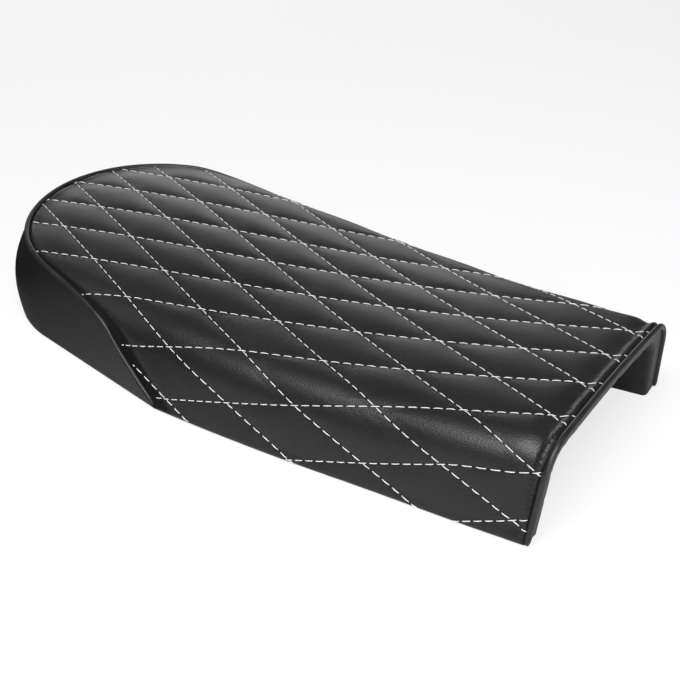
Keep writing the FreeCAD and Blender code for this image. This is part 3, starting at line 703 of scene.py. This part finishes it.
stitch_corners = []
stitch_faces = []
for family in (0, 1):
    for line in range(-SEAMS, SEAMS + 1):
        for number in range(-SEAMS * STITCHES_A_CELL, SEAMS * STITCHES_A_CELL):
            drift = 0.12 * noise.noise((line * 0.7, number * 0.13, family + 0.5))
            t = (number + STITCH_PHASES[family] + drift) / STITCHES_A_CELL
            if family == 0:
                place = functools.partial(flat_place, line)
                spot = functools.partial(quilt, line)
            else:
                place = functools.partial(flat_place, j=line)
                spot = functools.partial(quilt, j=line)
            span = shown_span(place, t)
            if span:
                first = len(stitch_corners)
                stitch_corners += stitch_points(spot, *span)
                stitch_faces += [[first + k for k in face] for face in bead_faces]
loose = bpy.data.meshes.new("loose_stitches")
loose.from_pydata(stitch_corners, [], stitch_faces)
bm = bmesh.new()
bm.from_mesh(loose)
bpy.data.meshes.remove(loose)
piece_from(bm, "quilting_stitches", thread_finish)

# Rear band: a plain strip of the same leatherette round the tail, sewn to the cover along the rear welt,
# swelling over the foam and turned under the rim with its own hem.
BAND_WALL = 1.6 * MM
ARC_COLUMNS = 72
LEG_COLUMNS = 30
BAND_ROWS = 26
RIM_ROWS = 14


def inside_skin(point):
    """Distance inside the smooth cover's surface at a point's own section."""
    stretches, _ = section(round(point.x, 5))
    y = abs(point.y)
    _, shoulder, turn, _ = stretches[1]
    centre = shoulder - Vector((math.sin(turn), math.cos(turn))) * SHOULDER_RADIUS
    flank_point = stretches[FLANK][1]
    if point.z < flank_point.y:
        flank_y = flank_point.x + (flank_point.y - point.z) * math.tan(FLANK_LEAN)
        return (flank_y - y) * math.cos(FLANK_LEAN)
    if y > centre.x:
        return SHOULDER_RADIUS - math.hypot(y - centre.x, point.z - centre.y)
    return CROWN_RADIUS - math.hypot(y, point.z - (stretches[0][1].y - CROWN_RADIUS))


def tail_point(column, z):
    """Point and level outward normal on the tail band's surface.

    Columns go up to 1 either way round the end, and past that along a leg, in metres."""
    centre, radius = tail_outline(z)
    side = 1.0 if column >= 0 else -1.0
    share = abs(column)
    quarter = math.pi / 2 - LEG_ANGLE
    turn = min(share, 1.0) * quarter
    out = Vector((-math.cos(turn), side * math.sin(turn), 0.0))
    point = Vector((centre, 0.0, z)) + out * radius
    if share > 1.0:
        fixed, fixed_radius = tail_outline(0.0)
        start = fixed - fixed_radius * math.sin(LEG_ANGLE)
        here = centre - radius * math.sin(LEG_ANGLE)
        run = start + (share - 1.0) - here
        point += Vector((1.0, side * math.tan(LEG_ANGLE), 0.0)) * max(run, 0.0)
    return point, out


def band_top(column):
    """Height where the tail band's surface meets the cover's."""
    low, high = -4 * MM, 95 * MM
    for _ in range(40):
        middle = (low + high) / 2
        if inside_skin(tail_point(column, middle)[0]) > 0:
            low = middle
        else:
            high = middle
    return low


def band_spot(column, share):
    """Point of the band: share runs from 0 at the welt to 1 at the rim, then to 2 through the hem."""
    top = band_top(column)
    rim = RIM_OUTER
    if share <= 1.0:
        z = top + (rim - top) * share if top > rim else rim
        return tail_point(column, z)[0]
    foot, out = tail_point(column, rim)
    plan = [(RIM_OUTER * math.pi / 2, RIM_OUTER), (RIM_WIDTH - RIM_OUTER - RIM_INNER, 0.0),
            (RIM_INNER * math.pi / 2, RIM_INNER), (HEM_HEIGHT - RIM_INNER, 0.0)]
    run = (share - 1.0) * sum(length for length, _ in plan)
    place = Vector((0.0, rim))
    turn = math.pi / 2
    for length, radius in plan:
        used = min(run, length)
        place, turn = step_along(place, turn, radius, used)
        run -= used
        if run <= 0:
            break
    return foot + out * place.x + Vector((0, 0, place.y - rim))


fixed_centre, fixed_radius = tail_outline(0.0)
leg_reach = WELT_FOOT - (fixed_centre - fixed_radius * math.sin(LEG_ANGLE))
columns = [-1 - leg_reach * (LEG_COLUMNS - k) / LEG_COLUMNS for k in range(LEG_COLUMNS)]
columns += [-1 + 2 * k / ARC_COLUMNS for k in range(ARC_COLUMNS + 1)]
columns += [1 + leg_reach * (k + 1) / LEG_COLUMNS for k in range(LEG_COLUMNS)]
rows = [k / BAND_ROWS for k in range(BAND_ROWS + 1)] + [1 + (k + 1) / RIM_ROWS for k in range(RIM_ROWS)]
bm = bmesh.new()
bmesh.ops.create_grid(bm, x_segments=len(columns) - 1, y_segments=len(rows) - 1, size=1.0)
for v in bm.verts:
    column = columns[round((v.co.x + 1) / 2 * (len(columns) - 1))]
    share = rows[round((v.co.y + 1) / 2 * (len(rows) - 1))]
    v.co = band_spot(column, share)
bmesh.ops.remove_doubles(bm, verts=bm.verts, dist=0.02 * MM)
bmesh.ops.recalc_face_normals(bm, faces=bm.faces)
if sum(f.normal.x for f in bm.faces if f.calc_center_median().x < -HALF + 20 * MM) > 0:
    bmesh.ops.reverse_faces(bm, faces=bm.faces)
rear_band = piece_from(bm, "tail_band", leather)
wall = rear_band.modifiers.new("wall", "SOLIDIFY")
wall.thickness = BAND_WALL
wall.offset = -1.0
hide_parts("rear_band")

# Rear welt: a cord wrapped in black leatherette and sewn between the cover and the tail band. It runs from
# rim to rim up one flank, round the tail and down the other, and thins out at the rim.
PIPING_RADIUS = 2.1 * MM
WELT_SINK = 1.3 * MM
TAPER_HEIGHT = 6.0 * MM
TAPER_SHARE = 0.5
WELT_BLACK = (0.012, 0.012, 0.013, 1.0)
WELT_WORN = (0.022, 0.022, 0.023, 1.0)
welt_leather = Finish("welt_leatherette", WELT_BLACK, 0.38, specular=0.45)
welt_cloud = welt_leather.noise(60.0, 5.0).outputs["Fac"]
welt_leather.colour(welt_leather.blend(welt_leather.spread(welt_cloud, 0.35, 0.75), WELT_BLACK, WELT_WORN))
welt_leather.roughness(welt_leather.spread(welt_cloud, 0.3, 0.7, 0.34, 0.46))
welt_leather.bump(welt_leather.noise(700.0, 5.0).outputs["Fac"], 0.12 * MM)


def piping(name, path, finish):
    """A round piping along a path, thinner at the rim, cut off level with the floor and closed."""
    line = bpy.data.curves.new(f"{name}_line", "CURVE")
    line.dimensions = "3D"
    line.bevel_depth = PIPING_RADIUS
    line.bevel_resolution = 6
    line.use_fill_caps = True
    spline = line.splines.new("POLY")
    spline.points.add(len(path) - 1)
    for spot, point in zip(spline.points, path):
        spot.co = (*point, 1.0)
        spot.radius = TAPER_SHARE + (1 - TAPER_SHARE) * ease(point.z / TAPER_HEIGHT)
    holder = bpy.data.objects.new(f"{name}_line", line)
    mesh = bpy.data.meshes.new_from_object(holder)
    bm = bmesh.new()
    bm.from_mesh(mesh)
    bpy.data.objects.remove(holder)
    bpy.data.meshes.remove(mesh)
    bmesh.ops.remove_doubles(bm, verts=bm.verts, dist=0.01 * MM)
    bmesh.ops.bisect_plane(bm, geom=bm.verts[:] + bm.edges[:] + bm.faces[:], dist=0.001 * MM,
                           plane_co=(0, 0, 0), plane_no=(0, 0, -1), clear_outer=True)
    open_edges = [e for e in bm.edges if e.is_boundary]
    if open_edges:
        bmesh.ops.holes_fill(bm, edges=open_edges, sides=0)
    bmesh.ops.recalc_face_normals(bm, faces=bm.faces)
    return piece_from(bm, name, finish)


def sunk(point, sink):
    """A point of the smooth cover, pushed in along the section's normal."""
    stretches, _ = section(round(point.x, 5))
    y = abs(point.y)
    side = 1.0 if point.y >= 0 else -1.0
    _, shoulder, turn, _ = stretches[1]
    centre = shoulder - Vector((math.sin(turn), math.cos(turn))) * SHOULDER_RADIUS
    if point.z < stretches[FLANK][1].y:
        normal = Vector((math.cos(FLANK_LEAN), math.sin(FLANK_LEAN)))
    elif y > centre.x:
        normal = Vector((y - centre.x, point.z - centre.y)).normalized()
    else:
        normal = Vector((y, point.z - (stretches[0][1].y - CROWN_RADIUS))).normalized()
    return point - Vector((0.0, side * normal.x, normal.y)) * sink


rear_path = []
for column in columns:
    point = sunk(tail_point(column, band_top(column))[0], WELT_SINK)
    if point.z > 0.5 * MM:
        rear_path.append(point)
rear_welt = piping("rear_piping", rear_path, welt_leather)
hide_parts("rear_welt")

# Front welt: the same piping along the front edge of the cover, from rim to rim over the arch.
FRONT_STEPS = 160
PAST_RIM = 200.0 * MM


def front_place(across):
    """Place along the seat where the cover meets the leaning front face."""
    x = FRONT
    for _ in range(6):
        point, _ = skin(x, across)
        x += front_gap(point)
    return x


front_reach = section(round(front_place(PAST_RIM), 6))[0][RIM][0]
front_end = front_reach + RIM_OUTER * math.pi / 4
front_path = []
for k in range(-FRONT_STEPS, FRONT_STEPS + 1):
    across = front_end * k / FRONT_STEPS
    point, normal = skin(front_place(across), across)
    front_path.append(point - normal * WELT_SINK)
front_welt = piping("front_piping", front_path, welt_leather)
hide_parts("front_welt")

# Front band: a narrow plain strip that covers the front edge of foam and pan, sewn in under the front welt
# and turned round the edge into the channel, with a few folds.
FACE_WIDTH = 13.4 * MM
FACE_ROUND = 3.0 * MM
FACE_HEM = 38.0 * MM
FACE_START = 1.6 * MM
FACE_ROWS = 44
FACE_COLUMNS = 220
FOLD_PITCH = 9.0 * MM
FOLD_RISE = 0.7 * MM
FOLD_START = 6.0 * MM
FOLD_END = 8.0 * MM
FOLD_FADE = 12.0 * MM
CORNER_FILL = 0.45


def face_spot(across, run):
    """Point of the front band: run starts under the welt, crosses the face and goes back into the channel."""
    flat = FACE_WIDTH - FACE_ROUND - FACE_START
    if run < flat:
        depth, back = FACE_START + run, 0.0
    elif run < flat + FACE_ROUND * math.pi / 2:
        turn = (run - flat) / FACE_ROUND
        depth = FACE_WIDTH - FACE_ROUND + FACE_ROUND * math.sin(turn)
        back = FACE_ROUND * (1 - math.cos(turn))
    else:
        depth = FACE_WIDTH
        back = FACE_ROUND + run - flat - FACE_ROUND * math.pi / 2
    x = front_place(across)
    point, normal = skin(x, across)
    depth += CORNER_FILL * back * abs(2 * normal.y * normal.z)
    wave = noise.noise((across / FOLD_PITCH, back / (4 * FOLD_PITCH), 0.4))
    fold = FOLD_RISE * wave * ease(run / FOLD_START) * ease((face_run - run) / FOLD_END)
    fold *= ease((front_reach - abs(across)) / FOLD_FADE)
    point = point - normal * (depth * (1 + flare(x) / FACE_WIDTH * abs(normal.y)) + fold)
    point.x += front_gap(point)
    return point - Vector((math.cos(FRONT_LEAN), 0, -math.sin(FRONT_LEAN))) * (back + 0.6 * abs(fold))


face_run = FACE_WIDTH - FACE_ROUND - FACE_START + FACE_ROUND * math.pi / 2 + FACE_HEM
bm = bmesh.new()
bmesh.ops.create_grid(bm, x_segments=FACE_COLUMNS, y_segments=FACE_ROWS, size=1.0)
for v in bm.verts:
    v.co = face_spot(v.co.x * front_reach, (v.co.y + 1) / 2 * face_run)
bmesh.ops.recalc_face_normals(bm, faces=bm.faces)
if sum(f.normal.x for f in bm.faces if f.calc_center_median().x > FRONT - 10 * MM) < 0:
    bmesh.ops.reverse_faces(bm, faces=bm.faces)
front_band = piece_from(bm, "front_strip", leather)
wall = front_band.modifiers.new("wall", "SOLIDIFY")
wall.thickness = BAND_WALL
wall.offset = -1.0
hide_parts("front_band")

# Hem staples: bright steel wire staples that hold the turned-in hem to the inside of the pan, all round
# the channel.
STAPLE_LENGTH = 10.0 * MM
STAPLE_WIDTH = 1.2 * MM
STAPLE_WALL = 0.6 * MM
STAPLE_ROUND = 0.15 * MM
STAPLE_PITCH = 28.0 * MM
STAPLE_EDGE = 6.0 * MM
TAIL_STAPLES = 9


def add_staple(bm, point, along, outward):
    """One staple's flat crown, its edges broken."""
    along = along.normalized()
    outward = outward.normalized()
    side = outward.cross(along)
    turn = Matrix((along, side, outward)).transposed().to_4x4()
    form = Matrix.Translation(point) @ turn @ Matrix.Diagonal((STAPLE_LENGTH, STAPLE_WIDTH, STAPLE_WALL, 1.0))
    made = bmesh.ops.create_cube(bm, size=1.0, matrix=form)
    edges = {e for v in made["verts"] for e in v.link_edges}
    bmesh.ops.bevel(bm, geom=list(edges), offset=STAPLE_ROUND, segments=2, profile=0.5, affect="EDGES",
                    material=-1)


bm = bmesh.new()
staple_rows = int((HALF - FACE_HEM - WELT_FOOT - 2 * STAPLE_LENGTH) / STAPLE_PITCH)
for side in (1, -1):
    for row in range(staple_rows + 1):
        x = WELT_FOOT + STAPLE_LENGTH + row * STAPLE_PITCH
        across = side * (section(round(x, 6))[1] - STAPLE_EDGE)
        point, normal = skin(x, across)
        ahead = skin(x + 1 * MM, across)[0]
        add_staple(bm, point, ahead - point, normal)
for k in range(-TAIL_STAPLES, TAIL_STAPLES + 1):
    column = k / TAIL_STAPLES
    bends = (RIM_OUTER + RIM_INNER) * math.pi / 2
    hem_length = bends + RIM_WIDTH - RIM_OUTER - 2 * RIM_INNER + HEM_HEIGHT
    point = band_spot(column, 2 - STAPLE_EDGE / hem_length)
    outward = -tail_point(column, RIM_OUTER)[1]
    add_staple(bm, point, Vector((-outward.y, outward.x, 0.0)), outward)
bmesh.ops.recalc_face_normals(bm, faces=bm.faces)
piece_from(bm, "hem_staples", zinc_steel, smooth=False)

# Studio: a plain pale floor, clear from below, a white surround, broad soft boxes, and the camera at the
# photograph's angle. A graded card that only reflections see puts a painted dark reflection in the leather,
# standing for the dark side of the room.
FLOOR_PALE = (0.92, 0.92, 0.92, 1.0)
FLOOR_SIZE = 12.0
FLOOR_GLOW = 0.75
WORLD_LIGHT = 0.1
# Painted reflection: the card's black-to-grey grade below is seen only in glossy reflections, never by the
# camera.
CARD_BLACK = (0.01, 0.01, 0.01, 1.0)
CARD_GREY = (0.6, 0.6, 0.6, 1.0)
CARD_LENGTH = 2.4
CARD_WIDTH = 2.0
CARD_PLACE = (0.0, -0.3, 0.0005)
CARD_FADE = (-0.32, 0.05)
CAMERA_AZIMUTH = math.radians(34.73)
CAMERA_ELEVATION = math.radians(31.3)
CAMERA_DISTANCE = 832.8 * MM
CAMERA_TARGET = Vector((47.07 * MM, 0.0, 21.72 * MM))
FOCAL_PIXELS = 1064.9
IMAGE_PIXELS = 680
SENSOR = 36.0

bm = bmesh.new()
bmesh.ops.create_grid(bm, x_segments=1, y_segments=1, size=FLOOR_SIZE / 2)
floor_mesh = bpy.data.meshes.new("studio_floor")
bm.to_mesh(floor_mesh)
bm.free()
floor = bpy.data.objects.new("studio_floor", floor_mesh)
bpy.context.scene.collection.objects.link(floor)
floor_paint = Finish("floor_paint", FLOOR_PALE, 0.9, specular=0.0)
rays = floor_paint.node("ShaderNodeLightPath")
glow = floor_paint.node("ShaderNodeEmission", {"Color": (1.0, 1.0, 1.0, 1.0), "Strength": 1.0})
glow_share = floor_paint.node("ShaderNodeMath", operation="MULTIPLY")
floor_paint.link(rays.outputs["Is Camera Ray"], glow_share.inputs[0])
glow_share.inputs[1].default_value = FLOOR_GLOW
floor_mix = floor_paint.node("ShaderNodeMixShader")
floor_paint.link(glow_share.outputs[0], floor_mix.inputs[0])
floor_paint.link(floor_paint.shader.outputs[0], floor_mix.inputs[1])
floor_paint.link(glow.outputs[0], floor_mix.inputs[2])
from_below = floor_paint.node("ShaderNodeNewGeometry").outputs["Backfacing"]
clear = floor_paint.node("ShaderNodeBsdfTransparent")
floor_sides = floor_paint.node("ShaderNodeMixShader")
floor_paint.link(from_below, floor_sides.inputs[0])
floor_paint.link(floor_mix.outputs[0], floor_sides.inputs[1])
floor_paint.link(clear.outputs[0], floor_sides.inputs[2])
floor_paint.link(floor_sides.outputs[0], floor_paint.tree.nodes["Material Output"].inputs["Surface"])
floor_mesh.materials.append(floor_paint.material)

bm = bmesh.new()
card_form = Matrix.Translation(CARD_PLACE) @ Matrix.Diagonal((CARD_LENGTH / 2, CARD_WIDTH / 2, 1.0, 1.0))
bmesh.ops.create_grid(bm, x_segments=1, y_segments=1, size=1.0, matrix=card_form)
card_mesh = bpy.data.meshes.new("reflection_shade_card")
bm.to_mesh(card_mesh)
bm.free()
# Painted reflection: black at the tail end of the card, grading to grey towards the front.
reflection_shade_paint = Finish("reflection_shade_paint", CARD_GREY, 1.0, specular=0.0)
card_along = reflection_shade_paint.node("ShaderNodeSeparateXYZ", {"Vector": reflection_shade_paint.place}).outputs["X"]
reflection_shade_paint.colour(reflection_shade_paint.blend(reflection_shade_paint.spread(card_along, *CARD_FADE), CARD_BLACK, CARD_GREY))
card_mesh.materials.append(reflection_shade_paint.material)
card = bpy.data.objects.new("reflection_shade_card", card_mesh)
card.visible_camera = False
card.visible_diffuse = False
card.visible_shadow = False
bpy.context.scene.collection.objects.link(card)

surround = bpy.data.worlds.new("studio_surround")
surround.use_nodes = True
world_nodes = surround.node_tree.nodes
world_links = surround.node_tree.links
background = world_nodes["Background"]
background.inputs["Color"].default_value = (1.0, 1.0, 1.0, 1.0)
world_rays = world_nodes.new("ShaderNodeLightPath")
world_level = world_nodes.new("ShaderNodeMapRange")
world_links.new(world_rays.outputs["Is Camera Ray"], world_level.inputs["Value"])
world_level.inputs["To Min"].default_value = WORLD_LIGHT
world_level.inputs["To Max"].default_value = 1.0
world_links.new(world_level.outputs["Result"], background.inputs["Strength"])
bpy.context.scene.world = surround


def soft_box(name, place, target, width, height, power):
    """A broad rectangular lamp that looks at a point."""
    lamp = bpy.data.lights.new(name, "AREA")
    lamp.shape = "RECTANGLE"
    lamp.size = width
    lamp.size_y = height
    lamp.energy = power
    holder = bpy.data.objects.new(name, lamp)
    holder.location = place
    holder.rotation_euler = (Vector(target) - Vector(place)).to_track_quat("-Z", "Y").to_euler()
    bpy.context.scene.collection.objects.link(holder)


soft_box("key_box", (0.35, -0.8, 1.6), (0.0, 0.0, 0.05), 1.4, 0.8, 38.0)
soft_box("back_box", (-1.5, 1.5, 0.55), (0.0, 0.0, 0.05), 2.2, 0.6, 10.5)
soft_box("front_box", (1.1, -0.6, 0.35), (0.2, 0.0, 0.03), 0.6, 0.4, 5.0)

way_back = Vector((math.sin(CAMERA_AZIMUTH) * math.cos(CAMERA_ELEVATION),
                   -math.cos(CAMERA_AZIMUTH) * math.cos(CAMERA_ELEVATION), math.sin(CAMERA_ELEVATION)))
lens = bpy.data.cameras.new("photo_camera")
lens.sensor_width = SENSOR
lens.lens = SENSOR * FOCAL_PIXELS / IMAGE_PIXELS
camera = bpy.data.objects.new("photo_camera", lens)
camera.location = CAMERA_TARGET + way_back * CAMERA_DISTANCE
camera.rotation_euler = way_back.to_track_quat("Z", "Y").to_euler()
bpy.context.scene.collection.objects.link(camera)
bpy.context.scene.camera = camera
bpy.context.scene.view_settings.view_transform = "Standard"
